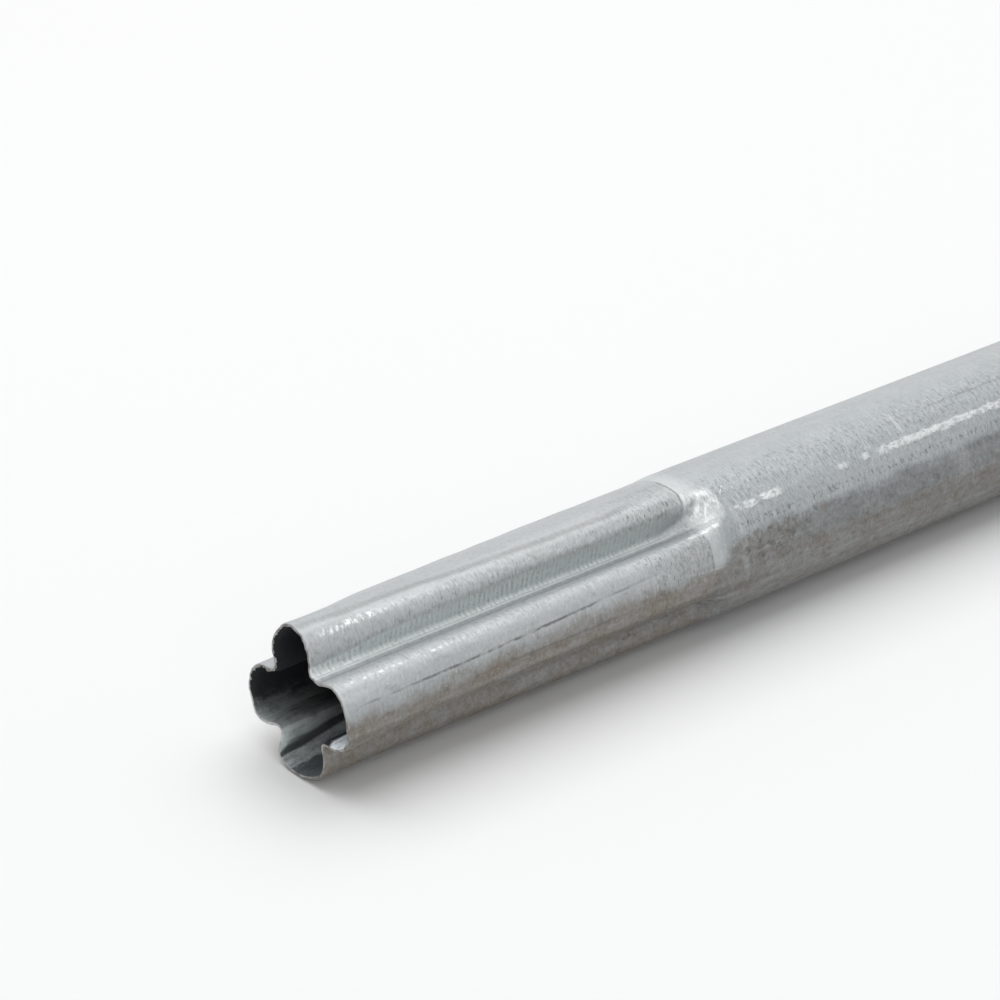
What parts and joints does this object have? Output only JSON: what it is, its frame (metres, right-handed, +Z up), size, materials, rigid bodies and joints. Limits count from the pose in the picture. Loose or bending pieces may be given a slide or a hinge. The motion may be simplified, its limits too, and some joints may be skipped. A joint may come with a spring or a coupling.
{
  "type": "galvanized steel post",
  "caption": "Round galvanized steel tube post, crimped at one end into a fluted spigot that slips into the plain open end of the next post.",
  "frame": {"origin": "middle of the post's length, straight below its axis, on the surface that it lies on", "axes": "+X along the post from the fluted spigot to the plain end, +Y level across it, +Z up"},
  "size_m": [1.4, 0.038, 0.0378],
  "materials": {
    "galvanized_steel": "zinc-coated steel, satin, with fine marks across the tube"
  },
  "bodies": {
    "root": {"post_tube": "galvanized_steel"}
  },
  "joints": []
}
